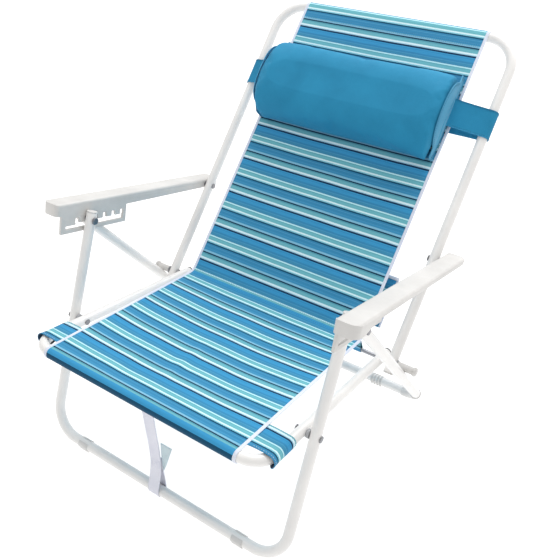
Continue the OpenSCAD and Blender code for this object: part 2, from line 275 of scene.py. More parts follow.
def striped():
    """The sling's cloth: bands laid along the second cloth coordinate, with a plain weave."""
    s = Shade("striped_cloth", 0.72, sheen=0.03, spec=0.2)
    uv = s.node("ShaderNodeUVMap", uv_map="cloth")
    split = s.node("ShaderNodeSeparateXYZ")
    s.link(uv.outputs[0], split.inputs[0])
    across = s.math("MULTIPLY", split.outputs[0], 1 / MM)
    along = s.math("MULTIPLY", split.outputs[1], 1 / MM)
    wander = s.math("MULTIPLY", s.math("SUBTRACT", s.noise(s.coords(), 9, 2), 0.5), 1.2)
    # whole repeats are added so that the remainder is taken of a positive length
    place = s.math("ADD", s.math("ADD", along, wander), STRIPE_PERIOD * 8)
    place = s.math("MODULO", place, STRIPE_PERIOD)
    bands = s.ramp(
        s.math("DIVIDE", place, STRIPE_PERIOD),
        [(p / STRIPE_PERIOD, rgb(*c)) for p, c in STRIPES],
        "CONSTANT",
    )
    weave = weave_height(s, across, along, 1.15)
    slub = s.noise(s.coords((0.25, 6, 6)), 120, 3, 0.6)
    shade = s.span(s.math("MULTIPLY_ADD", slub, 0.55, s.math("MULTIPLY", weave, 0.45)), 0.78, 1.16)
    s.colour(s.multiply(bands, shade))
    s.rough(s.span(weave, 0.66, 0.82))
    s.bump(s.math("MULTIPLY_ADD", slub, 0.4, weave), 0.3, 0.0005)
    return s.mat


def cloth(name, dark, light, pitch=1.0, sheen=0.15, ribs=None, strength=0.35):
    """Plain woven cloth from object coordinates; ribs=(axis, pitch in metres) adds ridges."""
    rough = 0.78
    s = Shade(name, rough, sheen=sheen, spec=0.3)
    at = s.coords()
    split = s.node("ShaderNodeSeparateXYZ")
    s.link(at, split.inputs[0])
    across = s.math("MULTIPLY", split.outputs[0], 1 / MM)
    # the sum of two axes, brought to about millimetres along a 45 degree slope
    rise = s.math("MULTIPLY", s.math("ADD", split.outputs[1], split.outputs[2]), 700)
    weave = weave_height(s, across, rise, pitch)
    fade = s.noise(at, 12, 4)
    fleck = s.noise(at, 700, 2)
    tone = s.math("MULTIPLY_ADD", fade, 0.7, s.math("MULTIPLY", fleck, 0.3))
    s.colour(s.ramp(tone, [(0.3, dark), (0.7, light)]))
    s.rough(s.span(weave, rough - 0.06, rough + 0.08))
    height = s.math("MULTIPLY_ADD", fleck, 0.35, weave)
    if ribs:
        line = s.math("MULTIPLY", split.outputs["XYZ".index(ribs[0])], 2 * math.pi / ribs[1])
        height = s.math("MULTIPLY_ADD", s.math("SINE", line), 0.8, height)
    s.bump(height, strength, 0.0005)
    return s.mat


PAINT = painted()
WHITE = moulded("satin_white_plastic", rgb(206, 204, 201), rgb(219, 217, 214), 0.42)
CLEAR_WHITE = moulded("pale_plastic", rgb(206, 205, 203), rgb(224, 222, 220), 0.34)
GREY = moulded("grey_plastic", rgb(150, 151, 154), rgb(176, 177, 180), 0.42)
BLACK = moulded("black_plastic", rgb(52, 52, 55), rgb(78, 78, 81), 0.42)
STEEL = brushed("plated_steel", rgb(132, 132, 138), rgb(196, 196, 200), 0.34)
DULL_STEEL = brushed("dull_plated_steel", rgb(120, 120, 124), rgb(168, 168, 172), 0.4, (30, 30, 30))
STRIPED = striped()
LINING = cloth("cloth_underside", rgb(14, 52, 84), rgb(26, 74, 108))
BINDING = cloth("white_binding", rgb(214, 222, 240), rgb(236, 240, 250), 0.8, ribs=("X", 0.0011))
THREAD = cloth("pale_thread", rgb(206, 214, 232), rgb(238, 240, 246), 0.4)
TEAL_THREAD = cloth("teal_thread", rgb(18, 84, 122), rgb(40, 112, 150), 0.4)
PILLOW = cloth("pillow_cloth", rgb(24, 124, 164), rgb(38, 144, 186), 0.9, sheen=0.04)
PILLOW_END = cloth("pillow_end_cloth", rgb(56, 140, 178), rgb(78, 164, 200), 0.9)
WEBBING = cloth(
    "lavender_webbing", rgb(224, 225, 238), rgb(242, 242, 250), 0.9, ribs=("X", 0.0022), strength=0.5
)
TAB = cloth("hook_tape", rgb(196, 220, 228), rgb(222, 238, 242), 0.7, ribs=("Z", 0.0018), strength=0.6)

# ---- mesh helpers


def mesh_object(name, verts, faces, mats, uv=None, smooth=True, which=None):
    """A mesh object from millimetre points. uv gives one (u, v) in millimetres per face corner."""
    mesh = bpy.data.meshes.new(name)
    mesh.from_pydata([tuple(c * MM for c in v) for v in verts], [], faces)
    for mat in mats if isinstance(mats, (list, tuple)) else [mats]:
        mesh.materials.append(mat)
    if uv is not None:
        layer = mesh.uv_layers.new(name="cloth")
        flat = np.array(uv, np.float32).reshape(-1, 2) * MM
        layer.data.foreach_set("uv", flat.ravel())
    mesh.polygons.foreach_set("use_smooth", [smooth] * len(faces))
    if which is not None:
        mesh.polygons.foreach_set("material_index", which)
    mesh.update()
    made = bpy.data.objects.new(name, mesh)
    bpy.context.scene.collection.objects.link(made)
    return made


def frames_along(path, first, closed=False):
    """Tangent, normal and binormal at each point, turned along the path without twist."""
    p = np.array(path, float)
    n = len(p)
    ahead = np.roll(p, -1, 0) - p
    behind = p - np.roll(p, 1, 0)
    if not closed:
        ahead[-1], behind[0] = behind[-1], ahead[0]
    ahead /= np.linalg.norm(ahead, axis=1)[:, None]
    behind /= np.linalg.norm(behind, axis=1)[:, None]
    t = ahead + behind
    t /= np.linalg.norm(t, axis=1)[:, None]
    normal = np.array(first, float)
    out = []
    for i in range(n):
        normal = normal - normal.dot(t[i]) * t[i]
        normal /= np.linalg.norm(normal)
        out.append((t[i], normal.copy(), np.cross(t[i], normal)))
    return p, out


def sweep_data(path, ring, first, closed=False, scales=None):
    """Vertices and faces of a ring carried along a path. ring is a list of (normal, binormal) offsets."""
    p, axes = frames_along(path, first, closed)
    verts, faces = [], []
    k = len(ring)
    for i, (t, n, b) in enumerate(axes):
        size = scales[i] if scales is not None else 1.0
        verts += [tuple(p[i] + n * r[0] * size + b * r[1] * size) for r in ring]
    last = len(p) if closed else len(p) - 1
    for i in range(last):
        j = (i + 1) % len(p)
        faces += [(i * k + a, i * k + (a + 1) % k, j * k + (a + 1) % k, j * k + a) for a in range(k)]
    if not closed:
        faces.append(tuple(reversed(range(k))))
        faces.append(tuple(range((len(p) - 1) * k, len(p) * k)))
    return verts, faces


def sweep(name, path, ring, mat, first=(0, 0, 1), scales=None):
    verts, faces = sweep_data(path, ring, first, scales=scales)
    return mesh_object(name, verts, faces, mat)


def circle(r, n):
    return [(r * math.cos(2 * math.pi * i / n), r * math.sin(2 * math.pi * i / n)) for i in range(n)]


def arc(cx, cy, r, a0, a1, n):
    """Points on a circle from angle a0 to a1 in degrees, in n steps."""
    angles = (math.radians(a0 + (a1 - a0) * i / n) for i in range(n + 1))
    return [(cx + r * math.cos(a), cy + r * math.sin(a)) for a in angles]


def rounded_rect(w, h, r, n=3):
    """Ring of a rectangle w by h with corners of radius r, n steps to a corner."""
    out = []
    for cx, cy, a0 in ((1, 1, 0), (-1, 1, 90), (-1, -1, 180), (1, -1, 270)):
        out += arc(cx * (w / 2 - r), cy * (h / 2 - r), r, a0, a0 + 90, n)
    return out


def loop_faces(loops, n):
    """Quads between consecutive closed loops of n points each."""
    return [
        (i * n + k, i * n + (k + 1) % n, (i + 1) * n + (k + 1) % n, (i + 1) * n + k)
        for i in range(loops - 1)
        for k in range(n)
    ]


def face_outwards(mesh):
    bm = bmesh.new()
    bm.from_mesh(mesh)
    bmesh.ops.recalc_face_normals(bm, faces=bm.faces)
    bm.to_mesh(mesh)
    bm.free()


def joined(name, parts, mat):
    """One object from several (verts, faces) lists."""
    verts, faces = [], []
    for v, f in parts:
        base = len(verts)
        verts += v
        faces += [tuple(i + base for i in face) for face in f]
    return mesh_object(name, verts, faces, mat)


def bezier(a, b, c, n):
    """Quadratic curve from a to c, pulled towards b, in n steps."""
    return [
        tuple((1 - t) ** 2 * a[k] + 2 * t * (1 - t) * b[k] + t * t * c[k] for k in range(2))
        for t in (i / n for i in range(n + 1))
    ]


def line(a, b, step):
    n = max(1, round(math.dist(a, b) / step))
    return [tuple(a[k] + (b[k] - a[k]) * i / n for k in range(len(a))) for i in range(n + 1)]


def polyline(points, step):
    """Points at about one step apart along straight lines, without the last one."""
    out = []
    for a, b in zip(points, points[1:]):
        out += line(a, b, step)[:-1]
    return out


def lengths(points):
    out = [0.0]
    for a, b in zip(points, points[1:]):
        out.append(out[-1] + math.dist(a, b))
    return out


def side_normals(points, turn=1):
    """Unit normals along an open line of 2-D points, to its left (turn 1) or to its right (turn -1)."""
    out = []
    for i in range(len(points)):
        a, b = points[max(0, i - 1)], points[min(len(points) - 1, i + 1)]
        d = math.dist(a, b)
        out.append((-turn * (b[1] - a[1]) / d, turn * (b[0] - a[0]) / d))
    return out


THREAD_R, THREAD_SIDES = 0.32, 5
# rings of one stitch: share of its length, share of the thread's radius, height over the cloth
THREAD_RINGS = ((0, 0.35, -0.4), (0.25, 1, 0.25), (0.75, 1, 0.25), (1, 0.35, -0.4))


def stitches(points, normals, pitch=4.6, dash=3.0):
    """Thread dashes laid on a line of points, raised along the normals: (verts, faces)."""
    run = lengths(points)
    p, nrm = np.array(points, float), np.array(normals, float)

    def at(d):
        j = min(len(run) - 2, max(0, int(np.searchsorted(run, d)) - 1))
        t = (d - run[j]) / max(1e-9, run[j + 1] - run[j])
        n = nrm[j] + (nrm[j + 1] - nrm[j]) * t
        return p[j] + (p[j + 1] - p[j]) * t, n / np.linalg.norm(n)

    n = THREAD_SIDES
    one = loop_faces(len(THREAD_RINGS), n)
    last = (len(THREAD_RINGS) - 1) * n
    one += [tuple(reversed(range(n))), tuple(range(last, last + n))]
    verts, faces = [], []
    d = pitch / 2
    while d + dash < run[-1]:
        a, n0 = at(d)
        b, _ = at(d + dash)
        along = (b - a) / np.linalg.norm(b - a)
        side = np.cross(along, n0)
        faces += [tuple(len(verts) + k for k in face) for face in one]
        for t, size, up in THREAD_RINGS:
            c = a + (b - a) * t + n0 * up
            for k in range(n):
                q = 2 * math.pi * k / n
                verts.append(
                    tuple(c + side * THREAD_R * size * math.cos(q) + n0 * THREAD_R * size * math.sin(q))
                )
        d += pitch
    return verts, faces


BEVEL_ANGLE, SHARP_ANGLE, TUBE_SHARP_ANGLE = (math.radians(a) for a in (32, 38, 50))


def skin(node, mat, slot, bevel, segments):
    """A detailed stand-in for a CAD node: its own shape with softened edges and smooth shading."""
    mesh = frame["nodes"][node].data.copy()
    mesh.name = node + "_finish"
    bm = bmesh.new()
    bm.from_mesh(mesh)
    bmesh.ops.remove_doubles(bm, verts=bm.verts, dist=2e-6)
    bmesh.ops.dissolve_limit(bm, angle_limit=math.radians(0.6), verts=bm.verts, edges=bm.edges)
    bm.to_mesh(mesh)
    bm.free()
    mesh.materials.clear()
    mesh.materials.append(mat)
    made = bpy.data.objects.new(node + "_finish", mesh)
    bpy.context.scene.collection.objects.link(made)
    mod = made.modifiers.new("edge", "BEVEL")
    mod.width, mod.segments, mod.limit_method = bevel * MM, segments, "ANGLE"
    mod.angle_limit, mod.harden_normals = BEVEL_ANGLE, False
    bake_modifiers(made)
    made.data.polygons.foreach_set("use_smooth", [True] * len(made.data.polygons))
    made.data.set_sharp_from_angle(angle=SHARP_ANGLE)
    return settle(made, body_of(node), slot, node)


def bake_modifiers(obj):
    """Replaces an object's mesh by the result of its modifiers, and removes them."""
    bpy.context.view_layer.update()
    mesh = bpy.data.meshes.new_from_object(obj.evaluated_get(bpy.context.evaluated_depsgraph_get()))
    obj.modifiers.clear()
    obj.data = mesh


def body_of(node):
    bodies = frame["record"]["behaviour"]["bodies"]
    return next(body for body, members in bodies.items() if node in members)


def settle(obj, body, slot=None, *nodes):
    """Rides a piece on a body and hides the CAD nodes that it stands for. The slot argument is not used.
    """
    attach(obj, body)
    if nodes:
        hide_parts(*nodes)
    return obj


# ---- tubes


def u_path(at, half, start, length, bend):
    """Centre line of a U-shaped tube: its open ends lie at start and its cross bar lies at length."""
    left = [(-half, s) for s in np.linspace(start, length - bend, 24)]
    half_way = left[:-1] + arc(-half + bend, length - bend, bend, 180, 90, 18)
    return [at(x, s) for x, s in half_way] + [at(-x, s) for x, s in reversed(half_way)]


def tube(name, path, body, node, first):
    """A painted tube along a path, with a rolled edge at both open ends."""
    p = [np.array(q, float) for q in path]

    def end(a, b):
        d = (b - a) / np.linalg.norm(b - a)
        return [(a, 0.9), (a + d * 0.35, 0.965), (a + d * 1.1, 1.0)]

    rows = end(p[0], p[1]) + [(q, 1.0) for q in p[1:-1]] + end(p[-1], p[-2])[::-1]
    points, scales = [tuple(q) for q, _ in rows], [k for _, k in rows]
    made = sweep(name, points, circle(TUBE_R, 32), PAINT, first, scales=scales)
    made.data.set_sharp_from_angle(angle=TUBE_SHARP_ANGLE)
    settle(made, body, "frame_paint", node)


UP, ACROSS = (0, 0, 1), (1, 0, 0)
tube("seat_rail_tube", u_path(on_seat, SEAT_HALF, -25, SEAT_LEN, 42), "seat", "seat_frame", UP)
tube("back_tube", u_path(on_back, BACK_HALF, -20, BACK_LEN, 65), "back", "back_frame", ACROSS)
front_path = u_path(on_front_leg, FRONT_HALF, -14, FRONT_LEN, 60)
tube("front_leg_tube", front_path, "front_legs", "front_leg_frame", ACROSS)
rear_path = u_path(on_rear_leg, REAR_HALF, -12, REAR_LEN, 45)
tube("rear_leg_tube", rear_path, "rear_legs", "rear_leg_frame", ACROSS)

# ---- moulded and metal parts

for mat, slot, bevel, segments, nodes in (
    (WHITE, "white_plastic", 0.9, 3, "left_armrest right_armrest"),
    (WHITE, "white_plastic", 0.6, 2, "stop_sleeves rod_end_caps back_tube_caps"),
    (WHITE, "white_plastic", 0.6, 2, "front_leg_plugs rear_leg_plugs"),
    (CLEAR_WHITE, "white_plastic", 0.45, 2, "front_foot_clips rear_foot_caps rear_bar_sleeves"),
    (BLACK, "dark_plastic", 0.5, 2, "seat_tube_plugs"),
    (GREY, "dark_plastic", 0.5, 2, "rod_washers seat_leg_spacers"),
    (DULL_STEEL, "rivet_steel", 0.7, 3, "seat_leg_rivets left_arm_rivet right_arm_rivet front_leg_pins"),
    (DULL_STEEL, "rivet_steel", 0.7, 3, "rear_leg_pins left_notch_pin right_notch_pin"),
    (STEEL, "rod_steel", 0.5, 2, "cross_rod"),
):
    for node in nodes.split():
        skin(node, mat, slot, bevel, segments)

# ---- sling

CLOTH_GAP, CLOTH_THICK = 0.3, 1.5
CLOTH_R = TUBE_R + CLOTH_GAP + CLOTH_THICK / 2
HALF_THICK = 0.6
# the crease and the seat's front bar are SEAT_RUN apart, the crease and the top bar BACK_RUN
SEAT_CREASE = 14.0
SEAT_RUN = SEAT_LEN - SEAT_CREASE
BACK_RUN = BACK_LEN - CREASE_S
WRAP_END, WRAP_STEPS, ROW_STEP = -105, 44, 5
# the cloth is one length: these give its stripe coordinate on the back and on the seat
BACK_SHIFT = -111.7
SEAT_SHIFT = 85 - 3 * STRIPE_PERIOD
# how far the stripes of the seat lie from their even spacing, at these distances from the crease
STRETCH_AT = (0, 40, 80, 150, 225, 260, 330, 400)
STRETCH_BY = (4.5, 5, 5.5, 8.5, 8.5, 6, 5, 4.5)
# the hem under the front bar is one plain band, and a narrow stretch before it is nearly so
HEM_FROM, HEM_STRIPE = 411, 43.0 - 6 * STRIPE_PERIOD
LIP_FROM, LIP_STRIPE = 401, 77.5

# stripe_in holds for the faces behind a row and stripe_out for the faces ahead of it
Row = namedtuple("Row", "y z ny nz s stripe_in stripe_out")


def side_point(at, along, off):
    return at(0, along, off)[1:]


def sling_rows():
    """Rows of the sling from under the front bar, over the seat, up the back and round the top bar.
    A row's s is its distance from the crease along the cloth, negative over the seat."""
    crease_f, crease_o = seat_crease()
    # seat, from the crease forwards
    fwd = line((crease_f + 14, crease_o - 0.6), (SEAT_LEN, CLOTH_R), ROW_STEP)[:-1]
    fwd += arc(SEAT_LEN, 0, CLOTH_R, 90, WRAP_END, WRAP_STEPS)
    seat = [side_point(on_seat, f, o) for f, o in fwd]
    rise = line((CREASE_S + 13, CREASE_O - 0.4), (BACK_LEN, CLOTH_R), ROW_STEP)[:-1]
    rise += arc(BACK_LEN, 0, CLOTH_R, 90, WRAP_END, WRAP_STEPS)
    back = [side_point(on_back, s, o) for s, o in rise]
    bend = bezier(seat[0], side_point(on_back, CREASE_S, CREASE_O), back[0], 10)
    path = seat[::-1] + bend[1:-1] + back
    mid = len(seat) + 4
    run = lengths(path)
    zero = run[mid]
    rows = []
    for i, ((y, z), (ny, nz)) in enumerate(zip(path, side_normals(path))):
        s = run[i] - zero
        before = zero - (run[max(0, i - 1)] + run[i]) / 2
        after = zero - (run[min(len(path) - 1, i + 1)] + run[i]) / 2
        stripe_in = seat_stripe(-s, before) if i <= mid else s + BACK_SHIFT
        stripe_out = seat_stripe(-s, after) if i < mid else s + BACK_SHIFT
        rows.append(Row(y, z, ny, nz, s, stripe_in, stripe_out))
    return rows


def seat_stripe(f, middle):
    """Stripe coordinate at f forwards of the crease, for a face whose middle lies at middle."""
    if middle > HEM_FROM:
        return HEM_STRIPE
    if middle > LIP_FROM:
        return LIP_STRIPE - 0.1 * (f - LIP_FROM) - 6 * STRIPE_PERIOD
    return SEAT_SHIFT - f - float(np.interp(f, STRETCH_AT, STRETCH_BY))


def seat_crease():
    """The crease's distance forwards and height in the seat's plane."""
    y, z = side_point(on_back, CREASE_S, CREASE_O)
    dy, dz = y - ROD[0], z - ROD[1]
    c, s = math.cos(SEAT_ANG), math.sin(SEAT_ANG)
    return (-dy * c + dz * s, dy * s + dz * c)


SEAT_SAG, BACK_SAG = 11.0, 6.0


def hill(v, width):
    return math.exp(-((v / width) ** 2))


def sag(x, s):
    """How far the cloth drops at x across and s from the crease (negative over the seat)."""
    across = 1 - min(1, abs(x) / SLING_HALF) ** 2.4
    if s < 0:
        f = -s
        t = f / SEAT_RUN
        if t >= 1:
            return 0.0
        drop = SEAT_SAG * math.sin(math.pi * t) ** 0.85 * across
        # a soft ridge and a shallow pull near the middle of the front half
        ridge = 2.2 * hill(x + 12 - 0.12 * (f - 240), 13) * hill(f - 262, 62)
        pull = 1.6 * hill(x + 60, 26) * hill(f - 350, 34)
        wave = 0.5 * math.sin(x * 0.045 + s * 0.013) * math.sin(math.pi * t) * across
        return drop - ridge + pull + wave
    t = s / BACK_RUN
    if t >= 1:
        return 0.0
    drop = BACK_SAG * math.sin(math.pi * t) ** 0.9 * across
    wave = 0.6 * math.sin(x * 0.032 - s * 0.011 + 1.3) * math.sin(math.pi * t) * across
    return drop + wave


def sheet_grid(name, rows, cols, point, mats, uv, lined=False):
    """A two-sided sheet. point(i, j, side) gives a vertex and uv(i, j) its cloth coordinate.
    A lined sheet has the second material on its back."""
    verts = [point(i, j, side) for side in (1, -1) for i in range(rows) for j in range(cols)]
    faces, corners, which = [], [], []
    base = rows * cols

    def put(face, cells, mat):
        faces.append(face)
        corners.extend(uv(i, j) for i, j in cells)
        which.append(mat)

    for i in range(rows - 1):
        for j in range(cols - 1):
            cells = [(i, j), (i, j + 1), (i + 1, j + 1), (i + 1, j)]
            ids = [r * cols + c for r, c in cells]
            put(tuple(reversed(ids)), cells[::-1], 0)
            put(tuple(base + q for q in ids), cells, 1 if lined else 0)
    rim = [(i, 0) for i in range(rows)] + [(rows - 1, j) for j in range(1, cols)]
    rim += [(i, cols - 1) for i in range(rows - 2, -1, -1)] + [(0, j) for j in range(cols - 2, 0, -1)]
    for a, b in zip(rim, rim[1:] + rim[:1]):
        ia, ib = a[0] * cols + a[1], b[0] * cols + b[1]
        put((ia, ib, base + ib, base + ia), [a, b, b, a], 0)
    return mesh_object(name, verts, faces, mats, corners, which=which)


ROWS = sling_rows()
COLS = [SLING_HALF * t for t in np.linspace(-1, 1, 65)]


def sling_point(i, x, lift=0.0):
    row = ROWS[i]
    off = lift - sag(x, row.s)
    return (x, row.y + row.ny * off, row.z + row.nz * off)


def build_sling():
    """The striped cloth. Its stripes may jump at a row, so each face has its own cloth coordinates."""
    nc = len(COLS)
    lifts = (HALF_THICK, -HALF_THICK)
    verts = [sling_point(i, x, lift) for lift in lifts for i in range(len(ROWS)) for x in COLS]
    faces, corners = [], []
    base = len(ROWS) * nc
    for i in range(len(ROWS) - 1):
        for j in range(nc - 1):
            a, b, c, d = i * nc + j, i * nc + j + 1, (i + 1) * nc + j + 1, (i + 1) * nc + j
            lo, hi = ROWS[i].stripe_out, ROWS[i + 1].stripe_in
            around = [(COLS[j], lo), (COLS[j + 1], lo), (COLS[j + 1], hi), (COLS[j], hi)]
            faces += [(a, b, c, d), (base + d, base + c, base + b, base + a)]
            corners += around + around[::-1]
    last = (len(ROWS) - 1) * nc
    for i in range(len(ROWS) - 1):
        for j in (0, nc - 1):
            a, d = i * nc + j, (i + 1) * nc + j
            faces.append((a, d, base + d, base + a) if j == 0 else (d, a, base + a, base + d))
            corners += [(COLS[j], ROWS[i].stripe_out)] * 4
    for j in range(nc - 1):
        faces.append((j + 1, j, base + j, base + j + 1))
        faces.append((last + j, last + j + 1, base + last + j + 1, base + last + j))
        corners += [(COLS[j], ROWS[0].stripe_out)] * 4 + [(COLS[j], ROWS[-1].stripe_in)] * 4
    return mesh_object("sling", verts, faces, STRIPED, corners)


BLEND_START = metres(on_back(0, CREASE_S + 5, CREASE_O))
BLEND_END = metres(on_back(0, 172, CREASE_O - 3))
sling = build_sling()
edge_lines = [[(side * (SLING_HALF - 2.2), r.y, r.z) for r in ROWS] for side in (-1, 1)]
edge_ring = rounded_rect(6.4, 2.2, 1.0)
edges = joined("side_binding", [sweep_data(p, edge_ring, ACROSS) for p in edge_lines], BINDING)


def row_line(x, lift, first, last):
    """Points and normals along the sling at one x, between two distances from the crease."""
    picked = [i for i, r in enumerate(ROWS) if first < r.s < last]
    return [sling_point(i, x, lift) for i in picked], [(0, ROWS[i].ny, ROWS[i].nz) for i in picked]


def cross_line(s, lift, span):
    """Points and normals across the sling on the row nearest to s."""
    i = min(range(len(ROWS)), key=lambda k: abs(ROWS[k].s - s))
    xs = np.linspace(-span, span, 60)
    return [sling_point(i, x, lift) for x in xs], [(0, ROWS[i].ny, ROWS[i].nz)] * len(xs)


thread = [
    stitches(*row_line(side * (SLING_HALF - 3.6), 1.15, -SEAT_RUN - 20, BACK_RUN + 18)) for side in (-1, 1)
]
seams = joined("sling_stitching", thread, THREAD)
thread = [
    stitches(*cross_line(s, HALF_THICK + 0.05, 208))
    for s in (-SEAT_RUN + 30, -5.0, 4.0, BACK_RUN - 30, BACK_RUN - 24)
]
hem_seams = joined("sling_hem_stitching", thread, TEAL_THREAD)
for piece in (sling, edges, seams, hem_seams):
    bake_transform(piece)
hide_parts("seat_sling", "back_sling", "back_sling_lower")
SLING_CUT = lengths([(r.y, r.z) for r in ROWS])[-1]


def rod_hem():
    """Hem loop sewn under the crease: it hangs from the cloth and passes round the cross rod."""
    web = 0.7
    r = 4 + CLOTH_GAP + web
    tilt = BACK_ANG + math.atan2(CREASE_O, CREASE_S)
    c, s = math.cos(tilt), math.sin(tilt)
    apart = 0.8
    reach = math.hypot(CREASE_S, CREASE_O) - apart
    left = math.degrees(math.asin((r - web) / reach))
    start = math.degrees(tilt) + 90 - left
    loop = [(reach * c - apart * s, reach * s + apart * c)]
    loop += arc(0, 0, r, start, start + 180 + 2 * left, 40)
    loop.append((reach * c + apart * s, reach * s - apart * c))
    points = [loop[0]] + [p for a, b in zip(loop, loop[1:]) for p in line(a, b, 4)[1:]]
    run = lengths(points)
    norms = side_normals(points, -1)
    xs = np.linspace(-SLING_HALF + 2, SLING_HALF - 2, 60)

    def point(i, j, side):
        # the web ripples slightly between the sewn line and the rod
        away = max(0, math.hypot(*points[i]) - 8) / 25
        x = xs[j]
        w = 0.5 * math.sin(x * 0.07) * min(1, away * 2) * (1 if away < 0.8 else 0.2)
        o = side * 0.55 + w * (1 if i < len(points) / 2 else -1)
        return (x, ROD[0] + points[i][0] + norms[i][0] * o, ROD[1] + points[i][1] + norms[i][1] * o)

    made = sheet_grid(
        "rod_hem_loop", len(points), len(xs), point, STRIPED, lambda i, j: (xs[j], run[i] - 165)
    )
    settle(made, "seat", "striped_cloth", "rod_loop")


rod_hem()

# ---- side wings

WING_BACK, WING_FRONT, WING_END = 331.0, 395.0, -95.0


def wing(side):
    """Cloth flap from the sling's edge round the seat rail: side is -1 (left) or 1 (right)."""
    r = CLOTH_R + 0.2
    meet = 80  # where the flap comes down on the rail, in degrees
    corner = 15.0
    # the flap leaves the stretched cloth a little below its height at the rail's middle
    start_o = CLOTH_R + (SEAT_LEN - (WING_BACK + WING_FRONT) / 2) / SEAT_RUN * 18.0 - 1.6
    edge = (SEAT_HALF - 6, r + 0.5)
    touch = (SEAT_HALF + r * math.cos(math.radians(meet)), r * math.sin(math.radians(meet)))
    profile = line((SLING_HALF - 4, start_o), edge, 3)[:-1]
    profile += bezier(edge, (SEAT_HALF - 2, r + 0.1), touch, 4)[:-1]
    profile += arc(SEAT_HALF, 0, r, meet, WING_END, 36)
    run = lengths(profile)
    norms = side_normals(profile)
    fs = np.linspace(0, 1, 22)

    def reach(i):
        """Back and front edge at point i of the profile, rounded off at the flap's end."""
        d = run[-1] - run[i]
        inset = corner - math.sqrt(max(0, corner**2 - (corner - d) ** 2)) if d < corner else 0
        return WING_BACK + inset, WING_FRONT - inset

    def loose(i, f):
        """How far the cloth stands off the rail: most at the front edge, none where it is sewn."""
        back, front = reach(i)
        u = (f - back) / (front - back)
        lift = 1.6 * max(0, u - 0.55) ** 2 / 0.2 + 0.5 * math.sin(u * 5 + i * 0.3) * 0.5
        return lift * (min(1, run[i] / 20) * min(1, (run[-1] - run[i]) / 18 + 0.35))

    def at(i, f, o):
        return on_seat(side * (profile[i][0] + norms[i][0] * o), f, profile[i][1] + norms[i][1] * o)

    def along(i, j):
        back, front = reach(i)
        return back + (front - back) * fs[j]

    def point(i, j, face):
        f = along(i, j)
        return at(i, f, loose(i, f) + face * HALF_THICK)

    def uv(i, j):
        return (profile[i][0] + run[i], seat_stripe(along(i, j) - SEAT_CREASE, 0))

    node = ("left" if side < 0 else "right") + "_wing"
    name = node + "_flap"
    made = sheet_grid(name, len(profile), len(fs), point, [STRIPED, LINING], uv, lined=True)
    if side > 0:
        made.data.flip_normals()
    dashes = []
    for edge_of, inset in ((0, 3.0), (1, -3.0)):
        pts, nms = [], []
        for i in range(4, len(profile) - 6):
            f = reach(i)[edge_of] + inset
            o = loose(i, f) + 0.7
            pts.append(at(i, f, o))
            nms.append(tuple(np.subtract(at(i, f, o + 1), pts[-1])))
        dashes.append(stitches(pts, nms))
    sewn = joined(name + "_stitching", dashes, THREAD)
    settle(made, "seat", "striped_cloth", node)
    settle(sewn, "seat", "striped_cloth")
    # moulded clip that holds the end of the flap under the rail
    mid = (WING_FRONT + WING_BACK) / 2 + 12
    hoop = arc(SEAT_HALF, 0, CLOTH_R + 1.6, WING_END + 26, WING_END - 34, 10)
    pts = [on_seat(side * x, mid, o) for x, o in hoop]
    sizes = [0.7, 0.9] + [1] * 7 + [0.9, 0.7]
    clip = sweep(name + "_clip", pts, rounded_rect(3.4, 15, 1.4), BLACK, scales=sizes)
    clip.data.set_sharp_from_angle(angle=TUBE_SHARP_ANGLE)
    settle(clip, "seat", "dark_plastic")


wing(-1)
wing(1)

# ---- rear pouch


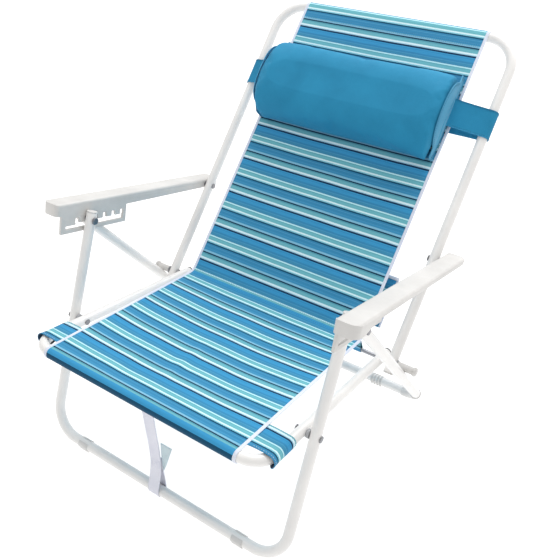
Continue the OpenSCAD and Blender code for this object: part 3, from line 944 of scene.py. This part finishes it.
def pouch():
    """Flat storage bag behind the foot of the back, hung from the sling by a flange."""
    top, low, half, off = 159.0, 52.0, 224.0, -20.5
    n_s, n_x = 44, 70
    xs = [half * math.sin(math.pi / 2 * t) for t in np.linspace(-1, 1, n_x)]

    def thick(x, u):
        """Half thickness at x across and u from the closed bottom (0) to the mouth (1)."""
        across = max(0.0, 1 - abs(x / half) ** 5) ** 0.55
        full = 6.6 * (1 - 0.62 * u**1.6) * across
        return max(0.55, full * (1 + 0.07 * math.sin(x * 0.05 + u * 3)))

    # the bag's section: how far up, which face, and the share of the half thickness there
    section = []
    for k in range(n_s):
        a = 2 * math.pi * k / n_s
        section.append((0.5 - 0.5 * math.cos(a), 1 if a < math.pi else -1, abs(math.sin(a)) ** 0.6))
    verts = []
    for x in xs:
        for u, face, w in section:
            droop = 4.0 * math.sin(math.pi * (x + half) / (2 * half)) * (1 - u)
            s = low + 2 + (top - low - 2) * u - droop + 1.2 * math.sin(x * 0.031) * (1 - u)
            o = off + face * thick(x, u) * w * (1 if face < 0 else 0.8)
            verts.append(on_back(x, s, o))
    faces = loop_faces(n_x, n_s)
    around = [q for face in faces for q in face]
    corners = [(xs[q // n_s], section[q % n_s][0] * (top - low) * 1.02 - 22) for q in around]
    faces += [tuple(range(n_s)), tuple(reversed(range((n_x - 1) * n_s, n_x * n_s)))]
    corners += [(0, 0)] * (2 * n_s)
    made = mesh_object("rear_pouch_bag", verts, faces, STRIPED, corners)
    face_outwards(made.data)
    # mouth binding, side binding and the flange up to the sling
    mouth = [on_back(x, top + 0.4, off) for x in np.linspace(-half, half, 60)]
    outwards = (0, math.cos(BACK_ANG + math.pi / 2), math.sin(BACK_ANG + math.pi / 2))
    trims = [sweep_data(mouth, rounded_rect(4.2, 7, 1.5), outwards)]
    for e in (-1, 1):
        seam = [on_back(e * (half - 0.5), s, off) for s in np.linspace(low + 3, top + 2, 24)]
        trims.append(sweep_data(seam, rounded_rect(4.4, 3.2, 1.2), ACROSS))
    trim = joined("pouch_binding", trims, BINDING)
    web = np.linspace(-198, 198, 50)
    path = bezier((154, -17.4), (170, -8), (172, 4), 10)[:-1]
    path += bezier((172, 4), (174, 12), (176.3, 19.0), 10)
    run = lengths(path)

    def point(i, j, face):
        s, o = path[i]
        follow = (1 if i > 12 else 0) * 0.35 * sag(web[j], s)
        return on_back(web[j], s + face * 0.5, o - follow - 0.15 * face)

    flange = sheet_grid(
        "pouch_flange", len(path), len(web), point, STRIPED, lambda i, j: (web[j], run[i] + 12)
    )
    pts = [on_back(x, top - 5, off - thick(x, 0.95) * 0.6 - 0.4) for x in np.linspace(-216, 216, 90)]
    down = tuple(np.subtract(on_back(0, 0, -1), on_back(0, 0, 0)))
    sewn = joined("pouch_stitching", [stitches(pts, [down] * len(pts))], THREAD)
    settle(made, "back", "striped_cloth", "rear_pouch")
    for piece in (trim, flange, sewn):
        settle(piece, "back", "striped_cloth")


pouch()

# ---- head pillow

PILLOW_HALF, PILLOW_RISE, PILLOW_LEN, PILLOW_AT = 207.0, 72.0, 184.0, 473.0
LEAN = math.atan2(CREASE_O - CLOTH_R, BACK_LEN - CREASE_S)


def on_sling(x, along, off):
    """Point above the sling's front face: along from the crease, off from the cloth."""
    c, s = math.cos(-LEAN), math.sin(-LEAN)
    return on_back(x, CREASE_S + along * c - off * s, CREASE_O + along * s + off * c)


def d_profile(chord, rise, n=40):
    """Outline of the pillow's end as (along, off): a domed front on a flat base."""
    out = []
    for i in range(n + 1):
        a = math.pi * i / n
        u = math.cos(a)
        out.append((chord / 2 * math.copysign(abs(u) ** 0.86, u), rise * math.sin(a) ** 0.8))
    return out


def pillow():
    """The case: a closed shell, filled by cloth pressure and then given its seams and ends."""
    inset = 5.0
    prof = d_profile(PILLOW_LEN - 2 * inset, PILLOW_RISE - 1.6 * inset)
    prof = [(PILLOW_AT + a, 2.2 + inset * 0.5 + o) for a, o in prof]
    xs = np.linspace(-PILLOW_HALF + inset, PILLOW_HALF - inset, 40)
    verts = []
    for x in xs:
        squeeze = 1 - 0.03 * abs(x / PILLOW_HALF) ** 6
        verts += [on_sling(x, PILLOW_AT + (a - PILLOW_AT) * squeeze, o * squeeze) for a, o in prof]
    n = len(prof)
    faces = loop_faces(len(xs), n)
    faces += [tuple(range(n)), tuple(reversed(range((len(xs) - 1) * n, len(xs) * n)))]
    made = mesh_object("head_pillow_case", verts, faces, PILLOW)
    face_outwards(made.data)
    mod = made.modifiers.new("remesh", "REMESH")
    mod.mode, mod.voxel_size, mod.use_smooth_shade = "VOXEL", 0.005, True
    bake_modifiers(made)
    inflate(made, cap=0.008, pressure=4.0)
    mod = made.modifiers.new("fine", "SUBSURF")
    mod.levels = mod.render_levels = 1
    bake_modifiers(made)
    shape_pillow(made)
    made.data.polygons.foreach_set("use_smooth", [True] * len(made.data.polygons))
    return made


def inflate(obj, cap, pressure):
    """Fills a closed cloth shell by pressure and keeps each point within cap of where it started."""
    start = np.array([v.co for v in obj.data.vertices])
    mod = obj.modifiers.new("cloth", "CLOTH")
    mod.settings.use_pressure = True
    mod.settings.uniform_pressure_force = pressure
    mod.settings.effector_weights.gravity = 0
    mod.settings.tension_stiffness = mod.settings.compression_stiffness = 12
    mod.settings.mass = 0.3
    first, last = 1, 20
    mod.point_cache.frame_start, mod.point_cache.frame_end = first, last
    scene = bpy.context.scene
    for f in range(first, last + 1):
        scene.frame_set(f)
    done = obj.evaluated_get(bpy.context.evaluated_depsgraph_get()).data
    end = np.array([v.co for v in done.vertices])
    obj.modifiers.clear()
    scene.frame_set(first)
    move = end - start
    size = np.linalg.norm(move, axis=1)
    move *= (np.minimum(size, cap) / np.maximum(size, 1e-9))[:, None]
    obj.data.vertices.foreach_set("co", (start + move).ravel())
    obj.data.update()


END_SWELL = (21.0, 4.0)  # of the left and the right end


def end_swell(x, a, o):
    """How far an end of the pillow stands out, a along from its middle and o above the cloth."""
    most = np.where(np.asarray(x) < 0, *END_SWELL)
    round_end = np.clip(1 - np.abs(2 * a / PILLOW_LEN) ** 2.6, 0, 1) ** 0.7
    return most * round_end * (0.55 + 0.45 * np.sin(math.pi * np.clip(o / PILLOW_RISE, 0, 1)))


def shape_pillow(obj):
    """Flattens the base, adds shallow creases at the seams, and lets the ends swell outwards."""
    origin = np.array(on_sling(0, 0, 0)) * MM
    along = np.array(on_sling(0, 1, 0)) - np.array(on_sling(0, 0, 0))
    off = np.array(on_sling(0, 0, 1)) - np.array(on_sling(0, 0, 0))
    co = np.array([v.co for v in obj.data.vertices])
    rel = (co - origin) / MM
    x, a, o = rel[:, 0], rel @ along - PILLOW_AT, rel @ off
    base = 1.6
    o = np.maximum(o, base)
    a = a * 1.07 - 6  # the filling settles towards the lower seam
    lim = PILLOW_HALF - 0.6
    x = np.clip(x, -lim, lim)
    end = np.abs(x) / PILLOW_HALF
    height = np.clip(o / PILLOW_RISE, 0, 1)
    crease = 0.55 * np.sin(a * 0.16 + x * 0.02) * np.exp(-(((end - 0.93) / 0.05) ** 2)) * height
    radial = np.stack([a, np.maximum(o - 18, 0)], 1)
    radial /= np.maximum(np.linalg.norm(radial, axis=1), 1e-6)[:, None]
    a = a + radial[:, 0] * crease
    o = np.clip(o + radial[:, 1] * crease, base, PILLOW_RISE + 2.5)
    a = np.clip(a, -PILLOW_LEN / 2 - 2, PILLOW_LEN / 2 + 2)
    x = x + np.sign(x) * np.clip((end - 0.72) / 0.28, 0, 1) ** 2 * end_swell(x, a, o)
    a = a + PILLOW_AT
    o = o - np.vectorize(sag)(x, a) * (1 - np.clip(o / 30, 0, 1))
    out = origin + (np.stack([x, 0 * x, 0 * x], 1) + a[:, None] * along + o[:, None] * off) * MM
    obj.data.vertices.foreach_set("co", out.ravel())
    obj.data.update()


pillow_case = pillow()
settle(pillow_case, "pillow", "pillow_cloth", "head_pillow")


def pillow_ends():
    """Sewn panel, piping and stitching of each end of the pillow."""
    outline = d_profile(PILLOW_LEN - 3.0, PILLOW_RISE - 3.0, 48)
    outline = [(PILLOW_AT + a, max(3.2, 2.8 + o)) for a, o in outline]
    outline += line(outline[-1], outline[0], 8)[1:-1]
    points = [v.co for v in pillow_case.data.vertices]
    case = BVHTree.FromPolygons(points, [p.vertices for p in pillow_case.data.polygons])
    hub_o, steps, n = 30.0, 12, len(outline)
    pipes, panels, thread = [], [], []
    for e in (-1, 1):
        # pull the seam in to the surface of the case
        x = e * (PILLOW_HALF - 5 + float(end_swell(e, 0.0, 36.0)) * 0.8)
        hub = metres(on_sling(x, PILLOW_AT, hub_o))
        seam = []
        for a, o in outline:
            tip = metres(on_sling(x, a, o))
            hit = case.ray_cast(hub, tip - hub)[0]
            k = (hit - hub).length / (tip - hub).length if hit else 1.0
            k = min(1.1, max(0.8, k))
            a, o = PILLOW_AT + (a - PILLOW_AT) * k, hub_o + (o - hub_o) * k
            seam.append((a, o, float(end_swell(e, a - PILLOW_AT, o))))
        centre_a = sum(a for a, _, _ in seam) / n

        def on_end(out, size_a, size_o, place):
            """A point of the seam, moved out of the end and shrunk towards the end's middle."""
            a, o, _ = place
            return on_sling(e * out, centre_a + (a - centre_a) * size_a, hub_o + (o - hub_o) * size_o)

        pipe = [on_sling(e * (PILLOW_HALF - 0.6 + w), a, o) for a, o, w in seam]
        pipes.append(sweep_data(pipe, circle(0.9, 10), ACROSS, closed=True))
        verts = []
        for r in range(steps + 1):
            t = 1 - r / steps
            bulge, size = 2.6 * (1 - t**3), max(t, 0.02)
            verts += [on_end(PILLOW_HALF - 1.2 + (bulge + q[2]), size, size, q) for q in seam]
        faces = loop_faces(steps + 1, n) + [tuple(range(steps * n, steps * n + n))]
        panels.append((verts, [f if e < 0 else f[::-1] for f in faces]))
        pts = [on_end(PILLOW_HALF - 0.6 + (q[2] + 0.5), 0.93, 0.92, q) for q in seam]
        thread.append(stitches(pts, [(e, 0, 0)] * n))
    return (
        joined("pillow_end_panels", panels, PILLOW_END),
        joined("pillow_piping", pipes, PILLOW_END),
        joined("pillow_stitching", thread, TEAL_THREAD),
    )


for piece in pillow_ends():
    settle(piece, "pillow", "pillow_cloth")

BAND_AT, BAND_WIDTH = 505.0, 58.0


def pillow_band():
    """Elastic band from each end of the pillow, round the back tubes and across behind."""
    r, meet = TUBE_R + 1.75, 84
    touch = (BACK_HALF + r * math.cos(math.radians(meet)), r * math.sin(math.radians(meet)))
    outer = [(PILLOW_HALF - 1.0, 28.8)] + bezier((PILLOW_HALF + 6, 27.6), (BACK_HALF - 30, 17), touch, 14)
    outer += arc(BACK_HALF, 0, r, meet, -90, 26)[1:]
    path = outer + line(outer[-1], (0, -r - 0.4), 12)[1:]
    path = path + [(-x, o) for x, o in reversed(path[:-1])]
    run = lengths(path)
    norms = side_normals(path)
    ss = np.linspace(-1, 1, 15)

    def place(i, s, o):
        return on_back(path[i][0] + norms[i][0] * o, s, path[i][1] + norms[i][1] * o)

    def point(i, j, face):
        hem = 0.55 if abs(ss[j]) > 0.86 else 0.0
        ripple = 0.35 * math.sin(run[i] * 0.09 + ss[j] * 2)
        o = face * (0.6 + hem * 0.5) + ripple * (1 if abs(path[i][0]) < BACK_HALF - 14 else 0)
        return place(i, BAND_AT + ss[j] * (BAND_WIDTH / 2 - 0.4), o)

    made = sheet_grid(
        "pillow_band", len(path), len(ss), point, PILLOW, lambda i, j: (run[i], ss[j] * BAND_WIDTH / 2)
    )
    made.data.flip_normals()
    rows = []
    for e in (-1, 1):
        pts = [place(i, BAND_AT + e * (BAND_WIDTH / 2 - 3.4), 1.25) for i in range(len(path))]
        nms = [tuple(np.subtract(place(i, 0, 2), place(i, 0, 1))) for i in range(len(path))]
        rows.append(stitches(pts, nms))
    sewn = joined("band_stitching", rows, TEAL_THREAD)
    settle(made, "pillow", "pillow_cloth", "pillow_straps")
    settle(sewn, "pillow", "pillow_cloth")


pillow_band()

# ---- carry strap and its hook tab


def strap():
    """Webbing sewn back on itself round the front floor bar, rising behind the front of the seat."""
    r = TUBE_R + 1.1
    top, free_from, half = 224.0, 70, 12.5
    path = line((8.5, top), (8.6, 118), 8)[:-1] + bezier((8.6, 118), (8.4, 92), (6.2, 66), 8)[:-1]
    path += bezier((6.2, 66), (1.0, 34), (-r - 0.1, 9), 12)[:-1]
    path += arc(0, 0, r, 172, 372, 30) + bezier((r, 4), (r + 0.6, 34), (8.6, 62), 10)[1:]
    path += [(10.0, 76), (10.3, 84)]
    run = lengths(path)
    norms = side_normals(path, -1)
    xs = np.linspace(-half, half, 13)

    def point(i, j, face):
        y, z = path[i]
        free = max(0, z - free_from) / (top - free_from)
        sway = 1.2 * math.sin(free * 3.1) + 4.0 * free**2
        roll = 0.8 * free * xs[j] / half
        o = face * (0.65 + (0.25 if abs(xs[j]) > 10.5 else 0.0))
        return (xs[j] - sway, FRONT_BAR_Y + y + norms[i][0] * o + roll, FLOOR_BAR_Z + z + norms[i][1] * o)

    made = sheet_grid(
        "carry_strap_webbing", len(path), len(xs), point, WEBBING, lambda i, j: (xs[j], run[i])
    )
    made.data.flip_normals()
    # a box stitch with its two diagonals, on the face that leans forwards at the bar
    low, high = 58, 76
    box = [(-9, low), (9, low), (9, high), (-9, high), (-9, low), (9, high), (9, low), (-9, high)]
    y_front = FRONT_BAR_Y + 6.0
    pts = [(x, y_front + (z - 66) * 0.1 - 0.9, FLOOR_BAR_Z + z) for x, z in polyline(box, 2)]
    sewn = joined("strap_stitching", [stitches(pts, [(0, -1, 0)] * len(pts), 3.4, 2.3)], THREAD)
    settle(made, "front_legs", "webbing", "carry_strap")
    settle(sewn, "front_legs", "webbing")


def tab_trim():
    """Stitching round the edge of the tab, on its front face."""
    lo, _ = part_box("closure_tab")
    y, z = lo.y / MM - 0.1, lo.z / MM
    outline = [(13.6, z + 27), (37.5, z + 77.5), (16.2, z + 77.5), (13.0, z + 27)]
    pts = [(x, y, h) for x, h in polyline(outline, 2)]
    sewn = joined("tab_stitching", [stitches(pts, [(0, -1, 0)] * len(pts), 3.6, 2.4)], THREAD)
    settle(sewn, "front_legs", "tab_cloth")


strap()
skin("closure_tab", TAB, "tab_cloth", 0.5, 2)
tab_trim()

# ---- studio


WHITE_LIGHT = (1, 1, 1, 1)


def floor():
    """Pale floor with a glow of its own, so that it stays near white round the soft shadow."""
    s = Shade("studio_floor", 0.9, spec=0.1)
    s.colour(s.ramp(s.noise(s.coords(), 3, 2), [(0.2, (0.35, 0.345, 0.34)), (0.8, (0.37, 0.365, 0.36))]))
    s.bsdf.inputs["Emission Color"].default_value = WHITE_LIGHT
    s.bsdf.inputs["Emission Strength"].default_value = 0.88
    r = 14.0 / MM
    square = [(-r, -r, 0), (r, -r, 0), (r, r, 0), (-r, r, 0)]
    mesh_object("studio_floor_plane", square, [(0, 1, 2, 3)], s.mat, smooth=False)


def softbox(name, place, aim, size, power):
    """A round area light at a place, turned to the point it aims at. Metres and watts."""
    data = bpy.data.lights.new(name, "AREA")
    data.shape, data.size, data.energy = "DISK", size, power
    made = bpy.data.objects.new(name, data)
    made.location = place
    made.rotation_euler = (Vector(aim) - Vector(place)).to_track_quat("-Z", "Y").to_euler()
    bpy.context.scene.collection.objects.link(made)


floor()
world = bpy.data.worlds.new("studio")
world.use_nodes = True
background = world.node_tree.nodes["Background"]
background.inputs["Color"].default_value = WHITE_LIGHT
background.inputs["Strength"].default_value = 0.7
bpy.context.scene.world = world
softbox("key_softbox", (-1.0, -1.2, 3.0), (0, 0, 0.3), 2.0, 8)
softbox("top_softbox", (0.1, 1.7, 2.9), (0, 0.1, 0.3), 2.6, 80)

# the photograph's viewing angle: looking down, rolled very slightly, from the front right
LOOK_DOWN, ROLL, TURN = 35.44, 0.22, 34.2
camera_data = bpy.data.cameras.new("camera")
camera_data.lens, camera_data.sensor_width = 44.4, 36
camera = bpy.data.objects.new("camera", camera_data)
camera.location = (0.6645, -0.9808, 1.0939)
camera.rotation_euler = (math.radians(90 - LOOK_DOWN), math.radians(ROLL), math.radians(TURN))
bpy.context.scene.collection.objects.link(camera)
bpy.context.scene.camera = camera
bpy.context.scene.view_settings.view_transform = "Standard"
